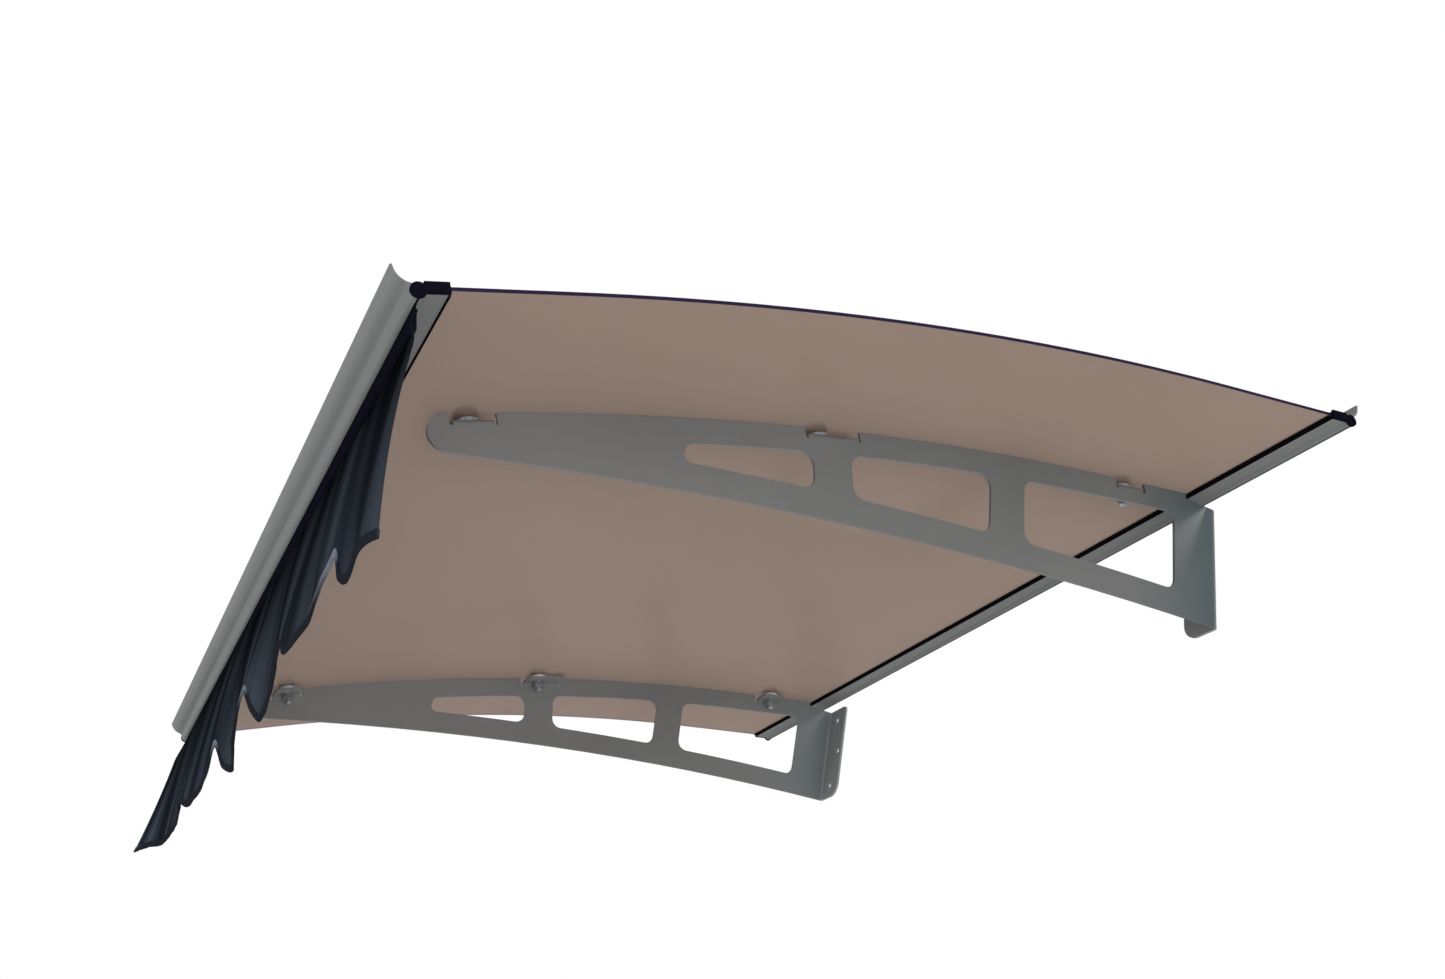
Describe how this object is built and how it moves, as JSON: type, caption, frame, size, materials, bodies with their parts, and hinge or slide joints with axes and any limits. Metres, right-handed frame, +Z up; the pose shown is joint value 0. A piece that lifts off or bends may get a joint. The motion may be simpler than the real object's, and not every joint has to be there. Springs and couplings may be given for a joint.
{
  "type": "polycarbonate door canopy",
  "caption": "Door canopy with an arched tinted polycarbonate panel between two metal edge profiles, carried by folded sheet brackets, with a lobed cloth valance at the front.",
  "frame": {"origin": "middle of the flat back of the wall profile's lip, where the canopy meets the wall", "axes": "+X along the wall, +Y into the wall, so the canopy reaches out to -Y, +Z up"},
  "size_m": [1.2056, 0.897, 0.4825],
  "materials": {
    "bronze_polycarbonate": "translucent bronze tint",
    "aluminium": "matt mill finish",
    "grey_paint": "satin grey powder coat",
    "black_rubber": "matt",
    "black_plastic": "moulded",
    "zinc_plate": "zinc plated",
    "light_grey_plastic": "moulded",
    "navy_cloth": "dark coated cloth"
  },
  "bodies": {
    "root": {"canopy_panel": "bronze_polycarbonate", "wall_profile": "aluminium", "wall_seal": "black_rubber", "wall_end_cap_left": "black_plastic", "wall_end_cap_right": "black_plastic", "front_profile": "aluminium", "front_seal": "black_rubber", "front_end_cap_left": "black_plastic", "front_end_cap_right": "black_plastic", "bracket_left": "grey_paint", "bracket_right": "grey_paint", "bolt_left_rear": "zinc_plate", "sealing_pad_left_rear": "black_rubber", "spacer_left_rear": "light_grey_plastic", "washer_left_rear": "zinc_plate", "nut_left_rear": "zinc_plate", "bolt_left_middle": "zinc_plate", "sealing_pad_left_middle": "black_rubber", "spacer_left_middle": "light_grey_plastic", "washer_left_middle": "zinc_plate", "nut_left_middle": "zinc_plate", "bolt_left_front": "zinc_plate", "sealing_pad_left_front": "black_rubber", "spacer_left_front": "light_grey_plastic", "washer_left_front": "zinc_plate", "nut_left_front": "zinc_plate", "bolt_right_rear": "zinc_plate", "sealing_pad_right_rear": "black_rubber", "spacer_right_rear": "light_grey_plastic", "washer_right_rear": "zinc_plate", "nut_right_rear": "zinc_plate", "bolt_right_middle": "zinc_plate", "sealing_pad_right_middle": "black_rubber", "spacer_right_middle": "light_grey_plastic", "washer_right_middle": "zinc_plate", "nut_right_middle": "zinc_plate", "bolt_right_front": "zinc_plate", "sealing_pad_right_front": "black_rubber", "spacer_right_front": "light_grey_plastic", "washer_right_front": "zinc_plate", "nut_right_front": "zinc_plate", "valance_keder": "black_rubber", "valance_cloth": "navy_cloth"}
  },
  "joints": []
}
